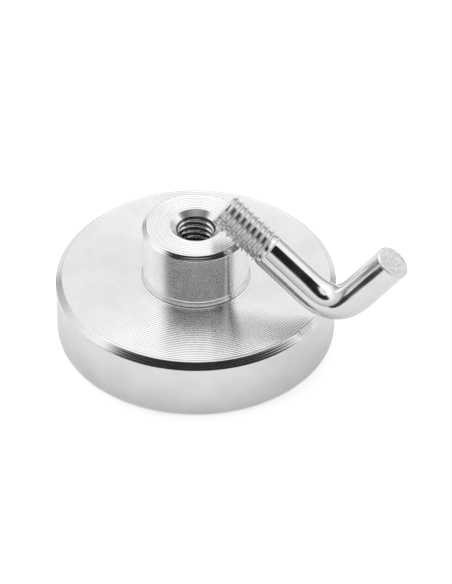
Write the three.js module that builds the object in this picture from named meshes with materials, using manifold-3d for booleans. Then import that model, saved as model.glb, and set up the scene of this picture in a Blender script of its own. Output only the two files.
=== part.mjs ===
// A single-sided magnet fishing magnet, 60 mm across, with its screw-in hook unscrewed.
//
// The steel pot is a shallow cup that holds a flat magnet against the ground. A turned bush
// with a blind threaded bore stands on the pot's top and is pressed into it by a spigot.
// The hook is one bent rod with a rolled thread. It isn't screwed in: it leans on the bush's
// rim and reaches out over the pot's edge.
//
// Millimetres, +Z up. The origin is the centre of the magnet's working face.
import * as THREE from 'three';
import { mergeVertices } from 'three/addons/utils/BufferGeometryUtils.js';
import Module from 'manifold-3d';

const wasm = await Module();
wasm.setup();

// ---------------------------------------------------------------- driving dimensions
const potRadius = 30;
const potHeight = 13.8;
const potEdgeChamfer = 1.35;
const potFootChamfer = 0.5;
const potWall = 4;
const potRoof = 5.4;
const jointGap = 0.05;

const magnetRadius = 22.5;
const magnetHeight = 8;
const magnetEdge = 0.3;
const pottingRecess = 0.4;

const bushRadius = 11.35;
const bushTop = 26.9;
const bushRimWidth = 0.95;
const bushRimDrop = 0.85;
const bushFootRadius = 11.6;
const bushFootHeight = 1.2;
const spigotRadius = 7;

const threadPitch = 1.45;
const boreMajor = 4.05;
const boreMinor = 3.45;
const boreDepth = 16;
const sinkRadius = 5.45;
const sinkSteepness = 0.85;

const hookThread = { crest: 4, root: 3.4, length: 13.05 };
const rodRadius = 3.71;
const shankLength = 31.8;
const legLength = 20.1;
const bendRadius = 7;
const tipChamfer = 0.6;
const runOut = 1.5;
const hookTip = new THREE.Vector3(5.8, -4.02, 34.23);
const hookAzimuth = -27.9;
const hookSlope = 34.2;
const hookRoll = 6.3;

const roundSides = 60;
const threadSides = 18;
const rodSides = 20;
const rodSteps = 40;

// ---------------------------------------------------------------- finishes
const turnedNickel = { color: 0xcfd0d2, roughness: 0.28, metalness: 1 };
const brightNickel = { color: 0xdcdcde, roughness: 0.12, metalness: 1 };
const magnetNickel = { color: 0xc4c5c8, roughness: 0.2, metalness: 1 };
const darkResin = { color: 0x1e1f21, roughness: 0.6, metalness: 0 };
const clearGlue = { color: 0x6d6a5c, roughness: 0.5, metalness: 0 };

// ---------------------------------------------------------------- shared shapes
// A solid of revolution about Z. Each profile point is [radius, height].
function turned(profile) {
  const points = profile.map(([radius, height]) => new THREE.Vector2(radius, height));
  const geometry = new THREE.LatheGeometry(points, roundSides);
  geometry.rotateX(Math.PI / 2);
  return geometry;
}

function solidOf(geometry) {
  const bare = geometry.clone();
  bare.deleteAttribute('normal');
  bare.deleteAttribute('uv');
  const merged = mergeVertices(bare, 1e-4);
  const vertProperties = new Float32Array(merged.attributes.position.array);
  const triVerts = new Uint32Array(merged.index.array);
  return new wasm.Manifold(new wasm.Mesh({ numProp: 3, vertProperties, triVerts }));
}

function geometryOf(solid) {
  const mesh = solid.getMesh();
  const geometry = new THREE.BufferGeometry();
  geometry.setAttribute('position', new THREE.BufferAttribute(mesh.vertProperties, 3));
  geometry.setIndex(new THREE.BufferAttribute(mesh.triVerts, 1));
  geometry.computeVertexNormals();
  return geometry;
}

function named(name, geometry, finish) {
  const mesh = new THREE.Mesh(geometry, new THREE.MeshStandardMaterial(finish));
  mesh.name = name;
  return mesh;
}

// A closed right-hand thread about Z with 60 degree flanks. Its surface is one strip wound
// round the axis: column i of a row lies i / threadSides of a pitch higher than column 0.
// It starts one pitch below zero and ends two pitches above its length, so that a turned
// envelope can trim both of its ends square. shape(radius, height) may fade the ridge.
function threadStrip(crest, root, length, shape) {
  const flank = (crest - root) * Math.tan(Math.PI / 6) / threadPitch;
  const flat = (1 - 2 * flank) / 2;
  const ridge = [[0, root], [flat, root], [flat + flank, crest], [2 * flat + flank, crest]];
  const perTurn = ridge.length;
  const turns = Math.ceil(length / threadPitch) + 2;
  const rows = turns * perTurn;
  const corners = [];
  for (let row = 0; row <= rows; row += 1) {
    const [share, radius] = ridge[row % perTurn];
    const turn = Math.floor(row / perTurn) + share - 1;
    for (let side = 0; side < threadSides; side += 1) {
      const angle = 2 * Math.PI * side / threadSides;
      const height = (turn + side / threadSides) * threadPitch;
      const reach = shape(radius, height);
      corners.push(reach * Math.cos(angle), reach * Math.sin(angle), height);
    }
  }
  // The last column of a row is the first column one turn further up.
  const at = (row, side) => (side < threadSides
    ? row * threadSides + side
    : (row + perTurn) * threadSides);
  const faces = [];
  for (let row = 0; row < rows - perTurn; row += 1) {
    for (let side = 0; side < threadSides; side += 1) {
      const [a, b] = [at(row, side), at(row, side + 1)];
      const [c, d] = [at(row + 1, side + 1), at(row + 1, side)];
      faces.push(a, b, c, a, c, d);
    }
  }
  // Each end is a fan from a point on the axis to the edge of the strip's last turn.
  const close = (firstRow, middle, flip) => {
    const rim = [];
    for (let side = 0; side <= threadSides; side += 1) rim.push(at(firstRow, side));
    for (let row = firstRow + perTurn - 1; row >= firstRow; row -= 1) rim.push(at(row, 0));
    const apex = corners.length / 3;
    corners.push(0, 0, middle);
    for (let k = 0; k + 1 < rim.length; k += 1) {
      const [from, to] = flip ? [rim[k + 1], rim[k]] : [rim[k], rim[k + 1]];
      faces.push(apex, from, to);
    }
  };
  close(0, -threadPitch / 2, true);
  close(rows - perTurn, (turns - 1.5) * threadPitch, false);
  // Corners of the last turn that no face uses are left out of the geometry.
  const used = [...new Set(faces)];
  const place = new Map(used.map((corner, index) => [corner, index]));
  const positions = used.flatMap((corner) => corners.slice(3 * corner, 3 * corner + 3));
  const geometry = new THREE.BufferGeometry();
  geometry.setAttribute('position', new THREE.Float32BufferAttribute(positions, 3));
  geometry.setIndex(faces.map((corner) => place.get(corner)));
  return geometry;
}

// ---------------------------------------------------------------- the pot
// A cup turned upside down: wall and roof in one, with a hole in the roof for the spigot.
function potShell() {
  const ceiling = potHeight - potRoof;
  const inner = potRadius - potWall;
  const hole = spigotRadius + jointGap;
  return turned([
    [hole, ceiling],
    [inner, ceiling],
    [inner, 0],
    [potRadius - potFootChamfer, 0],
    [potRadius, potFootChamfer],
    [potRadius, potHeight - potEdgeChamfer],
    [potRadius - potEdgeChamfer, potHeight],
    [hole, potHeight],
    [hole, ceiling],
  ]);
}

// The magnet's lower face is the working face, level with the pot's rim.
function magnetDisc() {
  return turned([
    [0, 0],
    [magnetRadius - magnetEdge, 0],
    [magnetRadius, magnetEdge],
    [magnetRadius, magnetHeight],
    [0, magnetHeight],
  ]);
}

function bondFilm() {
  const low = magnetHeight + jointGap;
  const high = potHeight - potRoof - jointGap;
  return turned([[0, low], [magnetRadius, low], [magnetRadius, high], [0, high]]);
}

// Resin fills the gap between magnet and wall, which keeps the two poles apart.
function pottingRing() {
  const inner = magnetRadius + jointGap;
  const outer = potRadius - potWall - jointGap;
  const high = potHeight - potRoof - jointGap;
  return turned([
    [inner, pottingRecess],
    [outer, pottingRecess],
    [outer, high],
    [inner, high],
    [inner, pottingRecess],
  ]);
}

// ---------------------------------------------------------------- the bush
// The bush's foot spreads into the pot's top with a quarter-round fillet, seen in section.
function footFillet() {
  const low = potHeight + jointGap;
  const reach = bushFootRadius - bushRadius;
  const arc = [];
  for (let k = 0; k <= 4; k += 1) {
    const angle = (Math.PI / 2) * (k / 4);
    const radius = bushFootRadius - reach * Math.sin(angle);
    const height = low + bushFootHeight * (1 - Math.cos(angle));
    arc.push([radius, height]);
  }
  return arc;
}

function threadedBush() {
  const body = solidOf(turned([
    [0, potHeight - potRoof],
    [spigotRadius, potHeight - potRoof],
    [spigotRadius, potHeight + jointGap],
    ...footFillet(),
    [bushRadius, bushTop - bushRimDrop],
    [bushRadius - bushRimWidth, bushTop],
    [0, bushTop],
  ]));
  const over = 1;
  const sink = solidOf(turned([
    [0, bushTop - sinkRadius * sinkSteepness],
    [sinkRadius + over, bushTop + over * sinkSteepness],
    [0, bushTop + over * sinkSteepness],
  ]));
  const strip = threadStrip(boreMajor, boreMinor, boreDepth, (radius) => radius);
  strip.translate(0, 0, bushTop - boreDepth);
  const envelope = solidOf(turned([
    [0, bushTop - boreDepth],
    [boreMajor + over, bushTop - boreDepth],
    [boreMajor + over, bushTop],
    [0, bushTop],
  ]));
  const bore = solidOf(strip).intersect(envelope);
  return geometryOf(body.subtract(sink).subtract(bore));
}

// ---------------------------------------------------------------- the hook
// The hook is modelled with its tip at zero, its shank along +Z and its leg along +X.
function bentRod(start) {
  const bendStart = shankLength - bendRadius;
  const pull = bendRadius * (1 - 0.5523);
  const path = new THREE.CurvePath();
  path.add(new THREE.LineCurve3(
    new THREE.Vector3(0, 0, start),
    new THREE.Vector3(0, 0, bendStart),
  ));
  path.add(new THREE.CubicBezierCurve3(
    new THREE.Vector3(0, 0, bendStart),
    new THREE.Vector3(0, 0, shankLength - pull),
    new THREE.Vector3(pull, 0, shankLength),
    new THREE.Vector3(bendRadius, 0, shankLength),
  ));
  path.add(new THREE.LineCurve3(
    new THREE.Vector3(bendRadius, 0, shankLength),
    new THREE.Vector3(legLength, 0, shankLength),
  ));
  const section = new THREE.Shape();
  section.absarc(0, 0, rodRadius, 0, 2 * Math.PI);
  return new THREE.ExtrudeGeometry(section, {
    extrudePath: path,
    steps: rodSteps,
    curveSegments: rodSides / 2,
  });
}

// The rolled thread fades into the rod over its last turn, just under the rod's surface.
function hookGeometry() {
  const { crest, root, length } = hookThread;
  const under = rodRadius - 0.1;
  const fade = (radius, height) => {
    const share = Math.min(1, Math.max(0, (height - (length - runOut)) / runOut));
    return radius + (under - radius) * share;
  };
  const envelope = solidOf(turned([
    [0, 0],
    [crest - tipChamfer, 0],
    [crest + 0.5, tipChamfer + 0.5],
    [crest + 0.5, length],
    [0, length],
  ]));
  const thread = solidOf(threadStrip(crest, root, length, fade)).intersect(envelope);
  const rod = solidOf(bentRod(length - 0.6));
  return geometryOf(thread.add(rod));
}

// The hook leans: turned to its azimuth, tipped down along its slope, rolled on its shank.
function leaningHook() {
  const degrees = Math.PI / 180;
  const hook = named('hook', hookGeometry(), brightNickel);
  hook.rotation.z = Math.PI - hookRoll * degrees;
  const slope = new THREE.Group();
  slope.rotation.y = Math.PI / 2 + hookSlope * degrees;
  slope.add(hook);
  const heading = new THREE.Group();
  heading.rotation.z = hookAzimuth * degrees;
  heading.position.copy(hookTip);
  heading.add(slope);
  return heading;
}

// ---------------------------------------------------------------- the assembly
const magnet = new THREE.Group();
magnet.add(named('pot_shell', potShell(), turnedNickel));
magnet.add(named('magnet_disc', magnetDisc(), magnetNickel));
magnet.add(named('bond_film', bondFilm(), clearGlue));
magnet.add(named('potting_ring', pottingRing(), darkResin));
magnet.add(named('threaded_bush', threadedBush(), turnedNickel));

const object = new THREE.Group();
object.add(magnet);
object.add(leaningHook());

export default object;
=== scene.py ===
# %% [markdown]
# # A magnet fishing magnet
#
# The object is a flat steel pot with a magnet set into its lower side, a turned bush that
# stands on top, and a bent hook that screws into the bush. Here the hook is unscrewed and
# leans on the bush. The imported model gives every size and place. Each visible piece is
# worked out again as a fine surface on a grid, because its look comes from small shapes:
# rounded edges, turning marks, thread flanks and the joint line at the bush's foot.

# %% Load the fixed frame
import math
import bpy
import numpy as np
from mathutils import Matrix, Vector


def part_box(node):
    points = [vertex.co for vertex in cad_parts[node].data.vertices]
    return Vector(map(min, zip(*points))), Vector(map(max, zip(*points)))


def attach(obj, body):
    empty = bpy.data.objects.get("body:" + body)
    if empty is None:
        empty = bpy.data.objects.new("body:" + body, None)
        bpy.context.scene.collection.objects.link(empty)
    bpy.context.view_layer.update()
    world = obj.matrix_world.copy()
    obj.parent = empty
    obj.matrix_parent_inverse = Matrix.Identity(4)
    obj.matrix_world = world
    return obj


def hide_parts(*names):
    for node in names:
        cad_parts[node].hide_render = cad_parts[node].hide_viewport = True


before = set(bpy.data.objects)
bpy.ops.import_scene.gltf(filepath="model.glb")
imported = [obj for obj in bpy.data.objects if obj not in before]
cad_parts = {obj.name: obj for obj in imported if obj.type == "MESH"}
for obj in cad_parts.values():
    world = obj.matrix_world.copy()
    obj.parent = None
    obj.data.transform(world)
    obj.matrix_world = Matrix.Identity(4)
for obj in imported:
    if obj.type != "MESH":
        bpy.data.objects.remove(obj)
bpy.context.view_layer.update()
MM = 0.001
TURN = 2 * math.pi

# %% [markdown]
# ## The camera
#
# A long lens from 40 degrees above the table keeps the pot's top a clean ellipse. The camera
# could be aimed by hand, but working it out from an angle and a distance keeps it easy to
# change. It looks at a point close to the origin, and a small shift puts the pot left of the
# middle, which leaves room for the hook.

# %% Camera
CAMERA_ELEVATION = math.radians(40.24)
CAMERA_DISTANCE = 0.543
LENS_MM = 154.1
AIM_DROP = 0.00638
SIDE_SHIFT = 0.0515

back = np.array([0.0, -math.cos(CAMERA_ELEVATION), math.sin(CAMERA_ELEVATION)])
upward = np.array([0.0, math.sin(CAMERA_ELEVATION), math.cos(CAMERA_ELEVATION)])
camera_data = bpy.data.cameras.new("studio_camera")
camera_data.lens = LENS_MM
camera_data.sensor_width = 36
camera_data.shift_x = SIDE_SHIFT
camera_data.clip_start = 0.01
camera = bpy.data.objects.new("studio_camera", camera_data)
camera.location = back * CAMERA_DISTANCE + upward * AIM_DROP
camera.rotation_euler = (math.pi / 2 - CAMERA_ELEVATION, 0, 0)
bpy.context.scene.collection.objects.link(camera)
bpy.context.scene.camera = camera
print("camera at", list(camera.location))

# %% [markdown]
# ## Small node helpers
#
# Every finish is built from nodes. A material could be typed out node by node each time, but
# a helper that adds a node, sets its inputs and links what it is given keeps each finish short
# enough to read.

# %% Node helpers
def add_node(tree, kind, inputs=None, **settings):
    """Adds one node; each input is a value to set or an output socket to link."""
    node = tree.nodes.new(kind)
    for key, value in settings.items():
        setattr(node, key, value)
    for key, value in (inputs or {}).items():
        if isinstance(value, bpy.types.NodeSocket):
            tree.links.new(value, node.inputs[key])
        else:
            node.inputs[key].default_value = value
    return node


def maths(tree, operation, a, b=0.0):
    """One Math node: operation applied to a and b."""
    return add_node(tree, "ShaderNodeMath", {0: a, 1: b}, operation=operation).outputs[0]


def smooth_range(tree, value, low, high, to_low=0.0, to_high=1.0):
    """Eases from to_low to to_high as value goes from low to high."""
    given = {"Value": value, "From Min": low, "From Max": high, "To Min": to_low, "To Max": to_high}
    node = add_node(tree, "ShaderNodeMapRange", given, interpolation_type="SMOOTHSTEP")
    return node.outputs[0]


print("helpers ready")

# %% [markdown]
# ## The studio
#
# Bright metal shows its surroundings more than its own colour, so the surroundings are part of
# the look. A white tent gives long clean highlights, and the dark opening in front, where the
# camera stands, draws the black line down the hook and along the front chamfer. A few lamps
# could do it too, but they leave hard spots. Here the world is the tent, measured by height
# angle and by compass angle from the front, positive to the right. It brightens with height
# and dims again at the crown, so that flat tops seen from above keep their tone. The sides are
# a little brighter, the low back is shaded, and the high back is brighter again. A thin dim
# line at the horizon is the gap between tent and table.
#
# The camera itself sees plain white behind the object, while the metal mirrors the shaded
# tent. No real tent does that. It stands in for cutting the background out afterwards.

# %% World
TENT_HORIZON = 0.68
TENT_MIDDLE = 1.01
TENT_TOP = 1.3
TENT_CROWN = 0.6
SIDE_GAIN = 1.12
DARK_OPENING = 0.015
EDGE_GAP = 0.3
BACK_SHADE = 0.78
BACK_TOP = 0.42
# Each pair below is where a change starts and ends, in degrees of height.
MIDDLE_RISE = (5.0, 36.0)
TOP_RISE = (46.0, 66.0)
CROWN_FADE = (52.0, 90.0)
OPENING_SILL = (27.0, 40.0)
OPENING_LINTEL = (58.0, 72.0)
EDGE_HEIGHT = (-1.0, 3.0)
BACK_SHADE_END = (14.0, 30.0)
BACK_TOP_RISE = (42.0, 58.0)
# And these are in degrees of compass.
OPENING_LEFT = (-92.0, -58.0)
OPENING_RIGHT = (84.0, 96.0)
SIDE_START = (55.0, 85.0)
SIDE_END = (125.0, 165.0)
BACK_START = (100.0, 130.0)

world = bpy.data.worlds.new("studio_tent")
world.use_nodes = True
bpy.context.scene.world = world
tent = world.node_tree
tent.nodes.clear()
direction = add_node(tent, "ShaderNodeTexCoord").outputs["Generated"]
parts = add_node(tent, "ShaderNodeSeparateXYZ", {0: direction})
height_angle = maths(tent, "MULTIPLY", maths(tent, "ARCSINE", parts.outputs["Z"]), math.degrees(1))
forward = maths(tent, "MULTIPLY", parts.outputs["Y"], -1.0)
rightward = maths(tent, "ARCTAN2", parts.outputs["X"], forward)
rightward = maths(tent, "MULTIPLY", rightward, math.degrees(1))
compass = maths(tent, "ABSOLUTE", rightward)

lower_light = smooth_range(tent, height_angle, *MIDDLE_RISE, TENT_HORIZON, TENT_MIDDLE)
upper_light = smooth_range(tent, height_angle, *TOP_RISE, 0.0, TENT_TOP - TENT_MIDDLE)
side_light = maths(tent, "MULTIPLY", smooth_range(tent, compass, *SIDE_START),
                   smooth_range(tent, compass, *SIDE_END, SIDE_GAIN - 1, 0.0))
lower_light = maths(tent, "MULTIPLY", lower_light, maths(tent, "ADD", side_light, 1.0))
tent_light = maths(tent, "ADD", lower_light, upper_light)
behind = smooth_range(tent, compass, *BACK_START)
high_behind = smooth_range(tent, height_angle, *BACK_TOP_RISE, 0.0, BACK_TOP)
tent_light = maths(tent, "ADD", tent_light, maths(tent, "MULTIPLY", behind, high_behind))
crown_dim = smooth_range(tent, height_angle, *CROWN_FADE, 1.0, TENT_CROWN)
tent_light = maths(tent, "MULTIPLY", tent_light, crown_dim)
print("tent: horizon", TENT_HORIZON, "middle", TENT_MIDDLE, "top", TENT_TOP)

# %% Opening, horizon line and shaded back
above_sill = smooth_range(tent, height_angle, *OPENING_SILL)
below_lintel = smooth_range(tent, height_angle, *OPENING_LINTEL, 1.0, 0.0)
inside_side = maths(tent, "MULTIPLY", smooth_range(tent, rightward, *OPENING_LEFT),
                    smooth_range(tent, rightward, *OPENING_RIGHT, 1.0, 0.0))
opening = maths(tent, "MULTIPLY", maths(tent, "MULTIPLY", above_sill, below_lintel), inside_side)
keep = smooth_range(tent, opening, 0.0, 1.0, 1.0, DARK_OPENING)
edge_line = smooth_range(tent, height_angle, *EDGE_HEIGHT, EDGE_GAP, 1.0)
low_behind = maths(tent, "MULTIPLY", behind, smooth_range(tent, height_angle, *BACK_SHADE_END, 1.0, 0.0))
back_dim = smooth_range(tent, low_behind, 0.0, 1.0, 1.0, BACK_SHADE)
edge_line = maths(tent, "MULTIPLY", edge_line, back_dim)
glow = maths(tent, "MULTIPLY", maths(tent, "MULTIPLY", tent_light, keep), edge_line)
seen = add_node(tent, "ShaderNodeLightPath").outputs["Is Camera Ray"]
strength = add_node(tent, "ShaderNodeMix", {0: seen, 2: glow, 3: 1.0}, data_type="FLOAT").outputs[0]
background = add_node(tent, "ShaderNodeBackground", {"Color": (1, 1, 1, 1), "Strength": strength})
add_node(tent, "ShaderNodeOutputWorld", {"Surface": background.outputs[0]})
print("opening: sill", OPENING_SILL, "lintel", OPENING_LINTEL)
print("opening: left", OPENING_LEFT, "right", OPENING_RIGHT)

# %% [markdown]
# ### The table and the lamp above
#
# The table is a plain matt white sheet, a hair below the pot so that the two never share a
# plane. It also glows. The camera sees it glow brightly, which keeps it as white as the tent
# with only a soft shadow, while metal that mirrors it sees a weaker glow, or the pot's lower
# wall would wash out. A wide lamp overhead gives that shadow and stays out of reflections.

# %% Floor and overhead light
FLOOR_HALF = 0.35
FLOOR_DROP = 2e-5
FLOOR_WHITE = (0.68, 0.68, 0.68, 1)
FLOOR_GLOW = 0.5
FLOOR_GLOW_MIRRORED = 0.14
LAMP_SIZE = 1.6
LAMP_ENERGY = 7.0
LAMP_PLACE = (0, 0.1, 1.1)


def matt(name, colour):
    """A wholly rough material without shine, for things that only light or shade the object."""
    finish = bpy.data.materials.new(name)
    finish.use_nodes = True
    shader = finish.node_tree.nodes["Principled BSDF"]
    shader.inputs["Base Color"].default_value = colour
    shader.inputs["Roughness"].default_value = 1.0
    shader.inputs["Specular IOR Level"].default_value = 0.0
    return finish


floor_mesh = bpy.data.meshes.new("studio_floor")
sides = ((-1, -1), (1, -1), (1, 1), (-1, 1))
corners = [(x * FLOOR_HALF, y * FLOOR_HALF, -FLOOR_DROP) for x, y in sides]
floor_mesh.from_pydata(corners, [], [(0, 1, 2, 3)])
studio_floor = bpy.data.objects.new("studio_floor", floor_mesh)
bpy.context.scene.collection.objects.link(studio_floor)
floor_finish = matt("studio_floor_white", FLOOR_WHITE)
floor_tree = floor_finish.node_tree
floor_shader = floor_tree.nodes["Principled BSDF"]
floor_shader.inputs["Emission Color"].default_value = (1, 1, 1, 1)
seen_directly = add_node(floor_tree, "ShaderNodeLightPath").outputs["Is Camera Ray"]
floor_glow = smooth_range(floor_tree, seen_directly, 0.0, 1.0, FLOOR_GLOW_MIRRORED, FLOOR_GLOW)
floor_tree.links.new(floor_glow, floor_shader.inputs["Emission Strength"])
floor_mesh.materials.append(floor_finish)

overhead_data = bpy.data.lights.new("overhead_softbox", "AREA")
overhead_data.shape = "SQUARE"
overhead_data.size = LAMP_SIZE
overhead_data.energy = LAMP_ENERGY
overhead = bpy.data.objects.new("overhead_softbox", overhead_data)
overhead.location = LAMP_PLACE
overhead.visible_glossy = False
bpy.context.scene.collection.objects.link(overhead)
# This view transform shows plain white as plain white, where the default one greys it.
bpy.context.scene.view_settings.view_transform = "Standard"
print("floor and overhead light placed")

# %% [markdown]
# ### The black flag
#
# A photographer puts a black card beside bright metal to give its edge a darker side. This one
# is a low folded card in front on the left. The metal mirrors it, but the camera doesn't see
# it, and it neither shades nor tints the table.

# %% Black flag
FLAG_CORNERS_MM = np.array([[-30, -74], [-46, -54], [-54, -30]])
FLAG_HEIGHT_MM = 21.0
FLAG_BLACK = (0.05, 0.05, 0.05, 1)

flag_mesh = bpy.data.meshes.new("black_flag")
flag_foot = np.column_stack([FLAG_CORNERS_MM, np.zeros(3)])
flag_points = np.vstack([flag_foot, flag_foot + [0, 0, FLAG_HEIGHT_MM]]) * MM
flag_mesh.from_pydata(flag_points.tolist(), [], [(0, 1, 4, 3), (1, 2, 5, 4)])
flag = bpy.data.objects.new("black_flag", flag_mesh)
bpy.context.scene.collection.objects.link(flag)
flag_mesh.materials.append(matt("black_flag_cloth", FLAG_BLACK))
flag.visible_camera = False
flag.visible_diffuse = False
flag.visible_shadow = False
print("black flag, mm high:", FLAG_HEIGHT_MM)

# %% [markdown]
# ## Surfaces on a grid
#
# Every piece here is round somewhere, so every piece can be one grid of points: rows along a
# profile, columns round an axis. The grid closes round the axis. Along the profile it either
# ends in two poles, as on a solid bar, or its last row meets its first, as on a ring. Writing
# the whole grid at once as arrays is quicker and more exact than stacking cylinders.

# %% Grid to mesh
def grid_piece(name, points, ring=False):
    """Makes a mesh of a (rows, columns, 3) array in metres. Columns close round the axis.
    Without ring, the first and last rows are poles, and each becomes one point. With ring,
    the last row joins the first. Rows run so that (along the row) x (to the next row) points out."""
    rows, columns, _ = points.shape
    column = np.arange(columns)
    following = (column + 1) % columns
    if ring:
        flat = points.reshape(-1, 3)
        start = np.arange(rows)[:, None] * columns
        upper = (np.arange(rows)[:, None] + 1) % rows * columns
        quads = np.stack([start + column, start + following, upper + following, upper + column], -1)
        triangles = np.zeros((0, 3), int)
    else:
        flat = np.vstack([points[0, 0], points[1:-1].reshape(-1, 3), points[-1, 0]])
        start = 1 + np.arange(rows - 3)[:, None] * columns
        quads = np.stack([start + column, start + following,
                          start + columns + following, start + columns + column], -1)
        last = 1 + (rows - 3) * columns
        top = len(flat) - 1
        low_fan = np.stack([np.zeros(columns, int), 1 + following, 1 + column], -1)
        high_fan = np.stack([np.full(columns, top), last + column, last + following], -1)
        triangles = np.vstack([low_fan, high_fan])
    quads = quads.reshape(-1, 4)
    mesh = bpy.data.meshes.new(name)
    mesh.vertices.add(len(flat))
    mesh.vertices.foreach_set("co", flat.astype(np.float32).ravel())
    corner_ids = np.concatenate([quads.ravel(), triangles.ravel()])
    sizes = np.concatenate([np.full(len(quads), 4), np.full(len(triangles), 3)])
    mesh.loops.add(len(corner_ids))
    mesh.loops.foreach_set("vertex_index", corner_ids.astype(np.int32))
    mesh.polygons.add(len(sizes))
    starts = np.concatenate([[0], np.cumsum(sizes)[:-1]])
    mesh.polygons.foreach_set("loop_start", starts.astype(np.int32))
    mesh.update(calc_edges=True)
    mesh.validate()
    mesh.shade_smooth()
    piece = bpy.data.objects.new(name, mesh)
    bpy.context.scene.collection.objects.link(piece)
    print(name, "faces", len(mesh.polygons))
    return piece


def paint(piece, name, values):
    """Stores a (rows, columns) array of one number per point, for a piece that ends in poles."""
    flat = np.concatenate([values[0, :1], values[1:-1].ravel(), values[-1, :1]])
    layer = piece.data.attributes.new(name, "FLOAT", "POINT")
    layer.data.foreach_set("value", flat.astype(np.float32))


def signed_volume(piece):
    """Six times the sum of corner triple products, over the mesh's triangles, as a volume."""
    mesh = piece.data
    mesh.calc_loop_triangles()
    place = np.zeros(len(mesh.vertices) * 3)
    mesh.vertices.foreach_get("co", place)
    corner = np.zeros(len(mesh.loop_triangles) * 3, int)
    mesh.loop_triangles.foreach_get("vertices", corner)
    a, b, c = place.reshape(-1, 3)[corner.reshape(-1, 3)].transpose(1, 0, 2)
    return float(np.einsum("ij,ij->i", a, np.cross(b, c)).sum() / 6)


# %% Profiles
def rounded(corners, radius, steps=5, margin=0.03):
    """Rounds each inner corner of an open profile of [radius, height] points in millimetres.
    A corner becomes a quadratic curve from one side to the other, and a row just outside the
    curve on each side keeps the flats flat under smooth shading."""
    corners = np.asarray(corners, float)
    rows = [corners[:1]]
    share = np.linspace(0, 1, steps + 1)[:, None]
    for before, corner, after in zip(corners[:-2], corners[1:-1], corners[2:]):
        to_before = (before - corner) / np.linalg.norm(before - corner)
        to_after = (after - corner) / np.linalg.norm(after - corner)
        limit = 0.45 * min(np.linalg.norm(before - corner), np.linalg.norm(after - corner))
        cut = min(radius, limit)
        first, last = corner + to_before * cut, corner + to_after * cut
        curve = (1 - share) ** 2 * first + 2 * share * (1 - share) * corner + share ** 2 * last
        outer = min(margin, 0.1 * cut + 0.02)
        rows += [(first + to_before * outer)[None], curve, (last + to_after * outer)[None]]
    return np.vstack(rows + [corners[-1:]])


def revolve(profile, columns):
    """Carries a profile of [radius, height] rows in millimetres round Z, as points in metres."""
    angle = np.linspace(0, TURN, columns, endpoint=False)
    profile = np.asarray(profile, float)
    x = profile[:, :1] * np.cos(angle)
    y = profile[:, :1] * np.sin(angle)
    z = np.repeat(profile[:, 1:], columns, axis=1)
    return np.stack([x, y, z], -1) * MM


print("grid helpers ready")

# %% [markdown]
# ## The pot
#
# The pot is turned from bar: a cup with a flat roof, a chamfer round its top edge and a small
# one at its foot. The lathe tool leaves rings on the roof. They could be painted on as bump,
# but real scallops catch the light as the roof turns away from it, so the rings are part of
# the profile: each is a shallow hollow between two fine ridges. The top chamfer shows the
# passes of the tool in the same way, much shallower. A very shallow groove marks where the
# bush's foot was pressed in; a deeper one would draw a black outline round the foot.

# %% Pot shell
_, pot_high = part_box("pot_shell")
POT_RADIUS = pot_high[0] / MM
POT_HEIGHT = pot_high[2] / MM
POT_CHAMFER = 1.35
POT_WALL = 4.0
POT_CEILING = POT_HEIGHT - 5.4
POT_HOLE = 7.05
FOOT_RADIUS = 11.6
RING_PITCH = 0.545
RING_DEPTH = 0.037
RING_ROWS = 8
ROOF_INSET = 0.45
CHAMFER_PASSES = 3
CHAMFER_MARK = 0.008
JOINT_DEPTH = 0.02
POT_COLUMNS = 288


def turned_rings(outer, inner, height, pitch, depth):
    """Rows from the outer radius to the inner one, over the whole number of rings nearest to
    the pitch. Each ring dips by a parabola, deepest in its middle, so that neighbouring rings
    meet in a fine ridge."""
    rings = round((outer - inner) / pitch)
    share = np.linspace(0, rings, rings * RING_ROWS + 1)
    radius = outer + (inner - outer) * share / rings
    dip = 4 * (share % 1) * (1 - share % 1)
    return np.stack([radius, height - depth * dip], -1)


def cut_face(start, end, passes, depth):
    """Rows across a slanted turned face. Each pass of the tool leaves a parabola-shaped hollow."""
    start, end = np.array(start), np.array(end)
    along = end - start
    inward = np.array([-along[1], along[0]]) / np.linalg.norm(along)
    share = np.linspace(0, passes, passes * RING_ROWS + 1)[:, None]
    dip = 4 * (share % 1) * (1 - share % 1)
    return start + along * share / passes + inward * depth * dip


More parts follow.
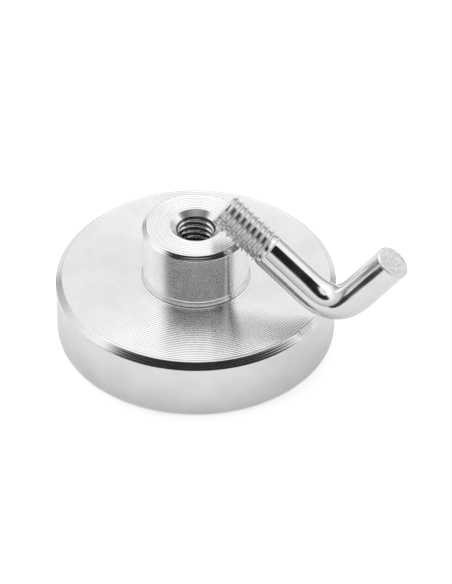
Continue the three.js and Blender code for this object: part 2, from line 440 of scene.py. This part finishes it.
def pot_profile():
    """The cup's section from the hole's lower edge, out along the ceiling, down the inner
    wall, round the outside and in over the roof to the hole again."""
    inner = POT_RADIUS - POT_WALL
    outside = rounded([
        [POT_HOLE, POT_CEILING + 0.4],
        [POT_HOLE, POT_CEILING],
        [inner, POT_CEILING],
        [inner, 0],
        [POT_RADIUS - 0.5, 0],
        [POT_RADIUS, 0.5],
        [POT_RADIUS, POT_HEIGHT - POT_CHAMFER],
        [POT_RADIUS - 0.14, POT_HEIGHT - POT_CHAMFER + 0.14],
    ], 0.12)
    chamfer = cut_face([POT_RADIUS - 0.15, POT_HEIGHT - POT_CHAMFER + 0.15],
                       [POT_RADIUS - POT_CHAMFER + 0.15, POT_HEIGHT - 0.15],
                       CHAMFER_PASSES, CHAMFER_MARK)
    roof_edge = rounded([
        [POT_RADIUS - POT_CHAMFER + 0.14, POT_HEIGHT - 0.14],
        [POT_RADIUS - POT_CHAMFER, POT_HEIGHT],
        [POT_RADIUS - POT_CHAMFER - 0.4, POT_HEIGHT],
    ], 0.12)
    roof_outer = POT_RADIUS - POT_CHAMFER - ROOF_INSET
    roof = turned_rings(roof_outer, FOOT_RADIUS + 0.4, POT_HEIGHT, RING_PITCH, RING_DEPTH)
    joint = rounded([
        [FOOT_RADIUS + 0.35, POT_HEIGHT],
        [FOOT_RADIUS + 0.25, POT_HEIGHT],
        [FOOT_RADIUS + 0.1, POT_HEIGHT - JOINT_DEPTH],
        [FOOT_RADIUS - 0.1, POT_HEIGHT - JOINT_DEPTH],
        [FOOT_RADIUS - 0.2, POT_HEIGHT],
        [POT_HOLE + 0.3, POT_HEIGHT],
        [POT_HOLE, POT_HEIGHT - 0.3],
        [POT_HOLE, POT_HEIGHT - 0.8],
    ], 0.05)
    return np.vstack([outside, chamfer, roof_edge, roof, joint])


pot = grid_piece("turned_pot", revolve(pot_profile(), POT_COLUMNS), ring=True)
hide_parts("pot_shell")
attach(pot, "magnet")
print("pot volume, cm3:", signed_volume(pot) * 1e6)

# %% [markdown]
# ## The bush
#
# The bush is one turned piece: a spigot that sits in the pot, a foot that spreads in a small
# fillet, a plain wall, a chamfered rim and a countersunk bore with a real thread. A screw
# modifier or a boolean could cut the thread, but both leave slivers where the cone meets the
# helix. Instead the bore is part of the same grid. At each height its radius is whichever is
# larger, the thread's or the cone's, so that the cone cuts the first turns as the tool does.
# How deep each point lies in the thread is stored on the mesh, for the oil and painted shade in the
# finish.

# %% Bush sizes and thread ridge
bush_low, bush_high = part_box("threaded_bush")
BUSH_TOP = bush_high[2] / MM
BUSH_RADIUS = 11.35
RIM_WIDTH = 0.95
RIM_DROP = 0.85
RIM_PASSES = 2
RIM_MARK = 0.014
FOOT_HEIGHT = 1.2
SPIGOT_RADIUS = 7.0
SINK_RADIUS = 5.45
SINK_STEEPNESS = 0.85
TOP_RING_PITCH = 0.535
TOP_RING_DEPTH = 0.042
TOP_INSET = 0.32
THREAD_PITCH = 1.45
BORE_MAJOR = 4.05
BORE_MINOR = 3.45
BORE_DEPTH = 16.0
BORE_CREST_SHARE = 0.02
BORE_FLANK_SHARE = 0.44
BORE_ROWS = 300
BUSH_COLUMNS = 224


def thread_ridge(turn, crest_share, flank_share):
    """A rolled thread's ridge against turns along its axis: 1 on the crest, 0 in the root.
    The crest is flat over its share of a turn, and on each side of it a nearly straight flank
    goes down over its own share."""
    from_crest = np.abs((turn + 0.5) % 1 - 0.5)
    down = np.clip((from_crest - crest_share / 2) / flank_share, 0, 1)
    return 0.6 * (1 - down) + 0.4 * (0.5 + 0.5 * np.cos(math.pi * down))


# %% Bush outside
def bush_outside():
    """The section from the spigot's foot up the outside and in over the rim to the cone."""
    angle = np.linspace(0, math.pi / 2, 9)
    reach = FOOT_RADIUS - BUSH_RADIUS
    low = POT_HEIGHT + 0.05
    fillet_radius = FOOT_RADIUS - reach * np.sin(angle)
    fillet_height = low + 0.2 + (FOOT_HEIGHT - 0.2) * (1 - np.cos(angle))
    spigot = rounded([
        [0, bush_low[2] / MM],
        [SPIGOT_RADIUS, bush_low[2] / MM],
        [SPIGOT_RADIUS, low],
        [FOOT_RADIUS, low],
        [FOOT_RADIUS, low + 0.1],
    ], 0.04)
    fillet = np.stack([fillet_radius, fillet_height], -1)
    wall = rounded([
        [BUSH_RADIUS - 0.1, low + FOOT_HEIGHT + 0.04],
        [BUSH_RADIUS - 0.1, low + FOOT_HEIGHT + 0.2],
        [BUSH_RADIUS, low + FOOT_HEIGHT + 0.3],
        [BUSH_RADIUS, BUSH_TOP - RIM_DROP],
        [BUSH_RADIUS - 0.11, BUSH_TOP - RIM_DROP + 0.1],
    ], 0.1)
    rim = cut_face([BUSH_RADIUS - 0.12, BUSH_TOP - RIM_DROP + 0.11],
                   [BUSH_RADIUS - RIM_WIDTH + 0.12, BUSH_TOP - 0.11], RIM_PASSES, RIM_MARK)
    rim_edge = rounded([
        [BUSH_RADIUS - RIM_WIDTH + 0.11, BUSH_TOP - 0.1],
        [BUSH_RADIUS - RIM_WIDTH, BUSH_TOP],
        [BUSH_RADIUS - RIM_WIDTH - 0.3, BUSH_TOP],
    ], 0.1)
    top = turned_rings(BUSH_RADIUS - RIM_WIDTH - TOP_INSET, SINK_RADIUS + 0.3, BUSH_TOP,
                       TOP_RING_PITCH, TOP_RING_DEPTH)
    sink_edge = rounded([
        [SINK_RADIUS + 0.28, BUSH_TOP],
        [SINK_RADIUS, BUSH_TOP],
        [SINK_RADIUS - 0.47, BUSH_TOP - 0.4],
    ], 0.1)
    return np.vstack([spigot, fillet, wall, rim, rim_edge, top, sink_edge])


# %% Bush bore
def bush_bore():
    """Rows down the bore. The radius is the larger of the cone's and the thread's, and the
    thread climbs one pitch a turn."""
    height = np.linspace(BUSH_TOP - 0.45, BUSH_TOP - BORE_DEPTH, BORE_ROWS)[:, None]
    angle = np.linspace(0, TURN, BUSH_COLUMNS, endpoint=False)[None]
    cone = SINK_RADIUS - (BUSH_TOP - height) / SINK_STEEPNESS
    turn = height / THREAD_PITCH - angle / TURN
    ridge = 1 - thread_ridge(turn, BORE_CREST_SHARE, BORE_FLANK_SHARE)
    thread = BORE_MINOR + (BORE_MAJOR - BORE_MINOR) * ridge
    radius = np.maximum(cone, thread)
    z = np.broadcast_to(height, radius.shape)
    return np.stack([radius * np.cos(angle), radius * np.sin(angle), z], -1) * MM


def bore_depth(outside_rows):
    """One number for each point of the bush: 0 on its outside and on the crests of the bore's
    thread, rising with the radius to 1 in the roots, and 1 on the bore's floor. The cone above
    is wider than the roots and gets 1 too, so the finish uses it only inside the bore."""
    radius = np.linalg.norm(bush_bore()[..., :2], axis=-1) / MM
    depth = np.clip((radius - BORE_MINOR) / (BORE_MAJOR - BORE_MINOR), 0, 1)
    outside = np.zeros((outside_rows, BUSH_COLUMNS))
    return np.concatenate([outside, depth, np.ones((2, BUSH_COLUMNS))])


bore_floor = revolve([[BORE_MINOR - 0.3, BUSH_TOP - BORE_DEPTH], [0, BUSH_TOP - BORE_DEPTH - 0.8]],
                     BUSH_COLUMNS)
bush_grid = np.concatenate([revolve(bush_outside(), BUSH_COLUMNS), bush_bore(), bore_floor])
bush = grid_piece("turned_bush", bush_grid)
paint(bush, "bore_depth", bore_depth(len(bush_outside())))
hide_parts("threaded_bush")
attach(bush, "magnet")
print("bush volume, cm3:", signed_volume(bush) * 1e6)

# %% [markdown]
# ## The hook
#
# The hook is one rod: a rolled thread, a straight shank, a right-angle bend and a straight leg
# with a sawn, lightly dressed end. A bevelled curve would give the rod but not the thread, so
# the rod is a grid carried along its own centre line. A circle of points is placed square to
# the line at each step, and its radius is a function of the distance along the rod and the
# angle round it, which is where the thread lives. The bend isn't a plain quarter circle. A
# sudden change from straight to round would put a notch in the dark line the shank mirrors, so
# the bend starts and ends gently, and its centre line is summed up in small steps.

# %% Hook centre line
HOOK_TIP = np.array([5.8, -4.02, 34.23])
HOOK_AZIMUTH = math.radians(-27.9)
HOOK_SLOPE = math.radians(34.2)
HOOK_ROLL = math.radians(6.3)
SHANK_LENGTH = 31.8
LEG_LENGTH = 20.1
BEND_LENGTH = 15.25
BEND_EASE = 0.7
BEND_STEPS = 2000
ROD_RADIUS = 3.71
HOOK_COLUMNS = 128


def hook_axes():
    """Unit vectors of the leaning hook: down its shank, along its leg, and across both."""
    outward = np.array([math.cos(HOOK_AZIMUTH), math.sin(HOOK_AZIMUTH), 0])
    left = np.array([-math.sin(HOOK_AZIMUTH), math.cos(HOOK_AZIMUTH), 0])
    up = np.array([0, 0, 1.0])
    shank = outward * math.cos(HOOK_SLOPE) - up * math.sin(HOOK_SLOPE)
    above = outward * math.sin(HOOK_SLOPE) + up * math.cos(HOOK_SLOPE)
    leg = above * math.cos(HOOK_ROLL) + left * math.sin(HOOK_ROLL)
    return shank, leg, np.cross(shank, leg)


def bend_angle(share):
    """How far the rod has turned after this share of the bend. It turns slowly at both ends and
    most in the middle, as a rod bent over a small former does."""
    return math.pi / 2 * (share - BEND_EASE * np.sin(TURN * share) / TURN)


bend_share = np.linspace(0, 1, BEND_STEPS + 1)
bend_step = BEND_LENGTH / BEND_STEPS
bend_cos, bend_sin = np.cos(bend_angle(bend_share)), np.sin(bend_angle(bend_share))
bend_forward = np.append(0, np.cumsum(bend_cos[1:] + bend_cos[:-1]) / 2 * bend_step)
bend_sideways = np.append(0, np.cumsum(bend_sin[1:] + bend_sin[:-1]) / 2 * bend_step)
bend_start = SHANK_LENGTH - bend_forward[-1]


def centre_line(distance):
    """Points and outward directions of the rod's centre line at these distances from its tip:
    straight to the bend, round it, and straight again. The second direction of each circle is
    the same all along, so the columns never twist."""
    share = np.clip((distance - bend_start) / BEND_LENGTH, 0, 1)
    angle = bend_angle(share)
    before = np.minimum(distance, bend_start)
    after = np.maximum(distance - bend_start - BEND_LENGTH, 0)
    along_shank = before + np.interp(share, bend_share, bend_forward)
    along_leg = np.interp(share, bend_share, bend_sideways) + after
    shank, leg, _ = hook_axes()
    place = HOOK_TIP + along_shank[:, None] * shank + along_leg[:, None] * leg
    outer = np.sin(angle)[:, None] * shank - np.cos(angle)[:, None] * leg
    return place, outer


rod_length = bend_start + BEND_LENGTH + LEG_LENGTH - bend_sideways[-1]
print("rod length, mm:", rod_length)

# %% Hook surface
HOOK_CREST = 3.97
HOOK_ROOT = 3.42
HOOK_CREST_SHARE = 0.05
HOOK_FLANK_SHARE = 0.22
THREAD_LENGTH = 13.05
RUN_OUT = 1.9
TIP_CHAMFER = 0.7
END_RADIUS = 0.28
THREAD_STATIONS = 260
PLAIN_STATIONS = 160
END_STATIONS = 9


def ease(low, high, value):
    """Smooth step from 0 at low to 1 at high."""
    share = np.clip((value - low) / (high - low), 0, 1)
    return share * share * (3 - 2 * share)


def hook_ridge(distance, angle):
    """The hook's thread: 1 on a crest and 0 in a root, one turn a pitch."""
    return thread_ridge(distance / THREAD_PITCH + angle / TURN, HOOK_CREST_SHARE, HOOK_FLANK_SHARE)


def hook_radius(distance, angle):
    """The rod's radius in millimetres. The thread's ridge fades into the plain rod over its
    last turn, the tip's chamfer cuts the first turn, and the leg's end is lightly rounded."""
    ridge = hook_ridge(distance, angle)
    thread = HOOK_ROOT + (HOOK_CREST - HOOK_ROOT) * ridge
    fade = ease(THREAD_LENGTH - RUN_OUT, THREAD_LENGTH, distance)
    radius = thread + (ROD_RADIUS - thread) * fade
    chamfer = HOOK_CREST - TIP_CHAMFER + distance
    to_end = np.clip(END_RADIUS - (rod_length - distance), 0, END_RADIUS)
    rounding = END_RADIUS - np.sqrt(np.maximum(END_RADIUS ** 2 - to_end ** 2, 0))
    return np.minimum(radius, chamfer) - rounding


def hook_stations():
    """Distances from the tip, in millimetres, at which the hook's circles stand."""
    threaded = np.linspace(0, THREAD_LENGTH + 0.2, THREAD_STATIONS)
    plain = np.linspace(THREAD_LENGTH + 0.4, rod_length - 0.35, PLAIN_STATIONS)
    quarter = np.linspace(0, math.pi / 2, END_STATIONS)
    ending = rod_length - END_RADIUS * (1 - np.sin(quarter))
    return np.concatenate([threaded, plain, ending])


def hook_grid():
    """Circles of points along the centre line, with a pole at each end."""
    distance = hook_stations()
    place, outer = centre_line(distance)
    _, _, across = hook_axes()
    angle = np.linspace(0, TURN, HOOK_COLUMNS, endpoint=False)
    radius = hook_radius(distance[:, None], angle[None])
    circle = (outer[:, None] * np.cos(angle)[None, :, None]
              + across[None, None] * np.sin(angle)[None, :, None])
    body = place[:, None] + radius[..., None] * circle
    flat_start = place[0] + 0.9 * (body[0] - place[0])
    flat_end = place[-1] + 0.93 * (body[-1] - place[-1])
    tip = np.broadcast_to(place[0], body[0].shape)
    end = np.broadcast_to(place[-1], body[0].shape)
    return np.concatenate([[tip, flat_start], body, [flat_end, end]]) * MM


def hook_marks():
    """Two numbers for each point: how deep it lies in the thread, from 0 to 1, and 1 on the sawn
    end but 0 elsewhere."""
    distance = hook_stations()[:, None]
    angle = np.linspace(0, TURN, HOOK_COLUMNS, endpoint=False)[None]
    fade = 1 - ease(THREAD_LENGTH - RUN_OUT, THREAD_LENGTH, distance)
    depth = (1 - hook_ridge(distance, angle)) * fade
    depth = np.vstack([depth[:1], depth[:1], depth, depth[-1:], depth[-1:]])
    sawn = np.zeros_like(depth)
    sawn[-3:] = 1.0
    return depth, sawn


# %% Hook mesh
hook = grid_piece("bent_hook", hook_grid())
thread_depth, sawn_end = hook_marks()
paint(hook, "thread_depth", thread_depth)
paint(hook, "sawn_end", sawn_end)
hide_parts("hook")
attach(hook, "hook")
print("hook volume, cm3:", signed_volume(hook) * 1e6)

# %% [markdown]
# ## The magnet and its resin
#
# The working face is the flat magnet disc, level with the pot's rim. Black resin fills the ring
# between them and stands a little low, with a curved surface where it wetted both walls before
# it set. Both are turned shapes, so both are profiles carried round the axis.

# %% Magnet disc and resin ring
_, magnet_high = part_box("magnet_disc")
MAGNET_RADIUS = magnet_high[0] / MM
MAGNET_HEIGHT = magnet_high[2] / MM
DISC_COLUMNS = 192
RESIN_SAG = 0.42
RESIN_ARCH = 0.28

magnet_profile = rounded([
    [0, 0],
    [MAGNET_RADIUS - 0.3, 0],
    [MAGNET_RADIUS, 0.3],
    [MAGNET_RADIUS, MAGNET_HEIGHT - 0.3],
    [MAGNET_RADIUS - 0.3, MAGNET_HEIGHT],
    [0, MAGNET_HEIGHT],
], 0.15)
magnet = grid_piece("nickel_magnet", revolve(magnet_profile, DISC_COLUMNS))
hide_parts("magnet_disc")
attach(magnet, "magnet")


def resin_profile():
    """The resin's section: its lower surface is a shallow arch between magnet and wall."""
    inner, outer = MAGNET_RADIUS + 0.05, POT_RADIUS - POT_WALL - 0.05
    top = POT_CEILING - 0.05
    share = np.linspace(0, 1, 17)
    sag = RESIN_SAG + RESIN_ARCH * np.sin(math.pi * share) ** 0.6
    surface = np.stack([inner + (outer - inner) * share, sag], -1)
    return np.vstack([surface, [[outer, top - 0.2], [outer, top], [inner, top], [inner, top - 0.2]]])


resin = grid_piece("resin_ring", revolve(resin_profile(), DISC_COLUMNS), ring=True)
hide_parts("potting_ring")
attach(resin, "magnet")
print("magnet volume, cm3:", signed_volume(magnet) * 1e6, "resin:", signed_volume(resin) * 1e6)

# %% [markdown]
# ## Turned nickel plate
#
# The pot and bush are turned steel with a thin nickel plate over it. The rings that can be
# seen one by one are shape already. The tool's finest marks are too small for that, and a bump
# map of them only sparkles. What they do is spread a reflection across the marks more than
# along them, so the shader is anisotropic and its tangent runs round the axis. Walls and
# chamfers are smoother than the flat tops, and the countersink is rougher than the walls. The
# colour carries the rest: faint streaks round the axis, slow clouds as handling leaves them, a
# slightly darker line for every ring, and dark oil with painted shade in the roots of the bore's thread.

# %% Turned finish
ANISOTROPY = 0.8
TANGENT_TURN = 0.25
SIDE_ROUGHNESS = 0.12
TOP_FACING = (0.95, 0.98)
SINK_ROUGHER = 0.12
SINK_REACH = (5.4e-3, 5.6e-3)        # metres from the axis
SINK_FACING = (0.70, 0.75)
# BORE_DARKER is oil and painted shade: the grey in the bore's thread roots is scaled by it.
BORE_DARKER = 0.12
BORE_REACH = (4.1e-3, 4.3e-3)        # metres from the axis
OIL_AND_SHADE_DEPTH = (0.35, 0.75)
STREAK_LEAN = -1.7
STREAK_SCALE = 3200.0
STREAK_ROUND = 1.2
STREAK_SPAN = (0.25, 0.75)
CLOUD_SCALE = 160.0
CLOUD_TONE = (0.965, 1.03)
CLOUD_SHINE = (0.98, 1.02)
CLOUD_SPAN = (0.3, 0.7)
LINE_WIDTH = 0.22
LINE_TONE = 0.95
BLUE_TINT = 1.01


def cold_grey(tree, tone):
    """A grey of this tone with very slightly more blue, as nickel has beside plain white."""
    blue = maths(tree, "MULTIPLY", tone, BLUE_TINT)
    given = {"Red": tone, "Green": tone, "Blue": blue}
    return add_node(tree, "ShaderNodeCombineColor", given).outputs[0]


def noise(tree, place, scale, detail, **more):
    """Noise read at a place; more can set its roughness or distortion."""
    given = {"Vector": place, "Scale": scale, "Detail": detail, **more}
    return add_node(tree, "ShaderNodeTexNoise", given).outputs[0]


def turning_streaks(tree, reach, height, level, scoring):
    """Fine streaks round the axis, from 1 - scoring to 1 + scoring. They change quickly with
    distance from the axis minus 1.7 times the height, and slowly with the direction."""
    track = maths(tree, "ADD", reach, maths(tree, "MULTIPLY", height, STREAK_LEAN))
    around = add_node(tree, "ShaderNodeVectorMath", {0: level}, operation="NORMALIZE").outputs[0]
    around = add_node(tree, "ShaderNodeVectorMath", {0: around, 3: STREAK_ROUND},
                      operation="SCALE").outputs[0]
    spread = add_node(tree, "ShaderNodeSeparateXYZ", {0: around})
    given = {"X": spread.outputs["X"], "Y": spread.outputs["Y"],
             "Z": maths(tree, "MULTIPLY", track, STREAK_SCALE)}
    place = add_node(tree, "ShaderNodeCombineXYZ", given).outputs[0]
    streaks = noise(tree, place, 1.0, 3.0, Roughness=0.6)
    return smooth_range(tree, streaks, *STREAK_SPAN, 1 - scoring, 1 + scoring)


def turned_nickel(name, grey, roughness, scoring, ring_pitch, ring_start):
    """Turned and plated steel. The flat tops have the given roughness, the darker lines stand
    one ring pitch apart from ring_start inward, and scoring is the streaks' strength."""
    finish = bpy.data.materials.new(name)
    finish.use_nodes = True
    tree = finish.node_tree
    shader = tree.nodes["Principled BSDF"]
    place = add_node(tree, "ShaderNodeTexCoord").outputs["Object"]
    parts = add_node(tree, "ShaderNodeSeparateXYZ", {0: place})
    given = {"X": parts.outputs["X"], "Y": parts.outputs["Y"]}
    level = add_node(tree, "ShaderNodeCombineXYZ", given).outputs[0]
    reach = add_node(tree, "ShaderNodeVectorMath", {0: level}, operation="LENGTH").outputs["Value"]

    steps = maths(tree, "DIVIDE", maths(tree, "SUBTRACT", reach, ring_start), ring_pitch)
    line = smooth_range(tree, maths(tree, "PINGPONG", steps, 0.5), 0.0, LINE_WIDTH, LINE_TONE, 1.0)
    patches = noise(tree, place, CLOUD_SCALE, 3.0)
    cloud = smooth_range(tree, patches, *CLOUD_SPAN, *CLOUD_TONE)
    scored = turning_streaks(tree, reach, parts.outputs["Z"], level, scoring)
    tone = maths(tree, "MULTIPLY", maths(tree, "MULTIPLY", line, cloud), scored)
    # Oil and painted shade: deep in the bore the thread's roots are painted much darker, as shade falls
    # in the hole.
    depth = add_node(tree, "ShaderNodeAttribute", attribute_name="bore_depth").outputs["Fac"]
    in_bore = smooth_range(tree, reach, *BORE_REACH, 1.0, 0.0)
    oil_and_shade = maths(tree, "MULTIPLY", in_bore, smooth_range(tree, depth, *OIL_AND_SHADE_DEPTH))
    base = smooth_range(tree, oil_and_shade, 0.0, 1.0, grey, grey * BORE_DARKER)
    tree.links.new(cold_grey(tree, maths(tree, "MULTIPLY", tone, base)), shader.inputs["Base Color"])

    normal = add_node(tree, "ShaderNodeNewGeometry").outputs["Normal"]
    facing = add_node(tree, "ShaderNodeSeparateXYZ", {0: normal}).outputs["Z"]
    gloss = smooth_range(tree, facing, *TOP_FACING, SIDE_ROUGHNESS, roughness)
    in_sink = maths(tree, "MULTIPLY", smooth_range(tree, reach, *SINK_REACH, 1.0, 0.0),
                    smooth_range(tree, facing, *SINK_FACING))
    gloss = maths(tree, "ADD", gloss, maths(tree, "MULTIPLY", in_sink, SINK_ROUGHER))
    shine = maths(tree, "MULTIPLY", gloss, smooth_range(tree, patches, *CLOUD_SPAN, *CLOUD_SHINE))
    tree.links.new(shine, shader.inputs["Roughness"])
    shader.inputs["Metallic"].default_value = 1.0
    shader.inputs["Anisotropic"].default_value = ANISOTROPY
    shader.inputs["Anisotropic Rotation"].default_value = TANGENT_TURN
    tangent = add_node(tree, "ShaderNodeTangent", direction_type="RADIAL", axis="Z").outputs[0]
    tree.links.new(tangent, shader.inputs["Tangent"])
    return finish


pot_rings = (RING_PITCH * MM, (POT_RADIUS - POT_CHAMFER - ROOF_INSET) * MM)
bush_rings = (TOP_RING_PITCH * MM, (BUSH_RADIUS - RIM_WIDTH - TOP_INSET) * MM)
pot.data.materials.append(turned_nickel("turned_pot_nickel", 0.79, 0.21, 0.012, *pot_rings))
bush.data.materials.append(turned_nickel("turned_bush_nickel", 0.84, 0.2, 0.07, *bush_rings))
print("turned finishes done")

# %% [markdown]
# ## Bright plate, resin and glue
#
# The hook and the magnet aren't turned, so their nickel is smooth and mirrors the tent nearly
# sharply. A perfect mirror would look drawn, so a very faint orange-peel bump and slow changes
# of gloss go over it. The hook's thread is a little darker in its roots, from oil and painted
# shade, and its cut end is scratched by the saw. Both follow numbers stored on the mesh, which is surer
# than guessing
# from the place. The magnet has the same plate without them. Resin and glue are dull plastics
# with a fine grain.

# %% Bright plate on the hook and magnet
PEEL_SCALE = 700.0
PLATE_TONE = (0.97, 1.02)
PLATE_SHINE = (0.8, 1.3)
# ROOT_DARKER is oil and painted shade: the grey in the hook's thread roots is scaled by it.
ROOT_DARKER = 0.82
ROOT_DARK_DEPTH = (0.3, 0.95)
ROOT_ROUGHER = 0.1
ROOT_ROUGH_DEPTH = (0.1, 0.9)
SAWN_SCALE = 650.0
SAWN_SPAN = (0.35, 0.65)
SAWN_TWIST = 2.5
SAWN_TONE = (-0.12, 0.09)
SAWN_ROUGHER = 0.25


def plated(name, grey, roughness, peel_depth, threaded=False):
    """Smooth bright nickel with faint orange-peel from the plating and slow gloss changes.
    On a threaded piece the roots are darker, from oil and painted shade, and the sawn end is scratched."""
    finish = bpy.data.materials.new(name)
    finish.use_nodes = True
    tree = finish.node_tree
    shader = tree.nodes["Principled BSDF"]
    place = add_node(tree, "ShaderNodeTexCoord").outputs["Object"]
    peel = noise(tree, place, PEEL_SCALE, 3.0)
    patches = noise(tree, place, CLOUD_SCALE, 4.0)
    shine = smooth_range(tree, patches, *CLOUD_SPAN, *(roughness * share for share in PLATE_SHINE))
    tone = smooth_range(tree, patches, *CLOUD_SPAN, *(share * grey for share in PLATE_TONE))
    if threaded:
        depth = add_node(tree, "ShaderNodeAttribute", attribute_name="thread_depth").outputs["Fac"]
        sawn = add_node(tree, "ShaderNodeAttribute", attribute_name="sawn_end").outputs["Fac"]
        # Oil and painted shade: the thread's roots are painted a little darker.
        darker = smooth_range(tree, depth, *ROOT_DARK_DEPTH, 1.0, ROOT_DARKER)
        tone = maths(tree, "MULTIPLY", tone, darker)
        rougher = smooth_range(tree, depth, *ROOT_ROUGH_DEPTH, 0.0, ROOT_ROUGHER)
        shine = maths(tree, "ADD", shine, rougher)
        grain = noise(tree, place, SAWN_SCALE, 4.0, Distortion=SAWN_TWIST)
        worn = maths(tree, "MULTIPLY", sawn, smooth_range(tree, grain, *SAWN_SPAN, *SAWN_TONE))
        tone = maths(tree, "ADD", tone, worn)
        shine = maths(tree, "ADD", shine, maths(tree, "MULTIPLY", sawn, SAWN_ROUGHER))
    tree.links.new(cold_grey(tree, tone), shader.inputs["Base Color"])
    tree.links.new(shine, shader.inputs["Roughness"])
    shader.inputs["Metallic"].default_value = 1.0
    given = {"Strength": 1.0, "Distance": peel_depth, "Height": peel}
    bump = add_node(tree, "ShaderNodeBump", given).outputs[0]
    tree.links.new(bump, shader.inputs["Normal"])
    return finish


hook.data.materials.append(plated("bright_hook_nickel", 0.80, 0.12, 2e-6, threaded=True))
magnet.data.materials.append(plated("magnet_nickel", 0.72, 0.22, 4e-6))
print("bright plate done")

# %% Resin and glue
GRAIN_SCALE = 900.0
GRAIN_DEPTH = 3e-5
GRAIN_STRENGTH = 0.6
GRAIN_TONE = (0.7, 1.3)


def cast(name, colour, roughness):
    """Set resin or glue: a dull dark plastic with fine grain."""
    finish = bpy.data.materials.new(name)
    finish.use_nodes = True
    tree = finish.node_tree
    shader = tree.nodes["Principled BSDF"]
    place = add_node(tree, "ShaderNodeTexCoord").outputs["Object"]
    grain = noise(tree, place, GRAIN_SCALE, 5.0)
    darker, lighter = (tuple(share * c for c in colour) + (1,) for share in GRAIN_TONE)
    tone = add_node(tree, "ShaderNodeMix", {0: grain, 6: darker, 7: lighter}, data_type="RGBA")
    tree.links.new(tone.outputs[2], shader.inputs["Base Color"])
    shader.inputs["Roughness"].default_value = roughness
    given = {"Strength": GRAIN_STRENGTH, "Distance": GRAIN_DEPTH, "Height": grain}
    bump = add_node(tree, "ShaderNodeBump", given).outputs[0]
    tree.links.new(bump, shader.inputs["Normal"])
    return finish


resin.data.materials.append(cast("potting_resin", (0.03, 0.03, 0.032), 0.45))
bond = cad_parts["bond_film"]
bond.data.materials.clear()
bond.data.materials.append(cast("bond_adhesive", (0.30, 0.28, 0.22), 0.5))
print("resin and glue done")
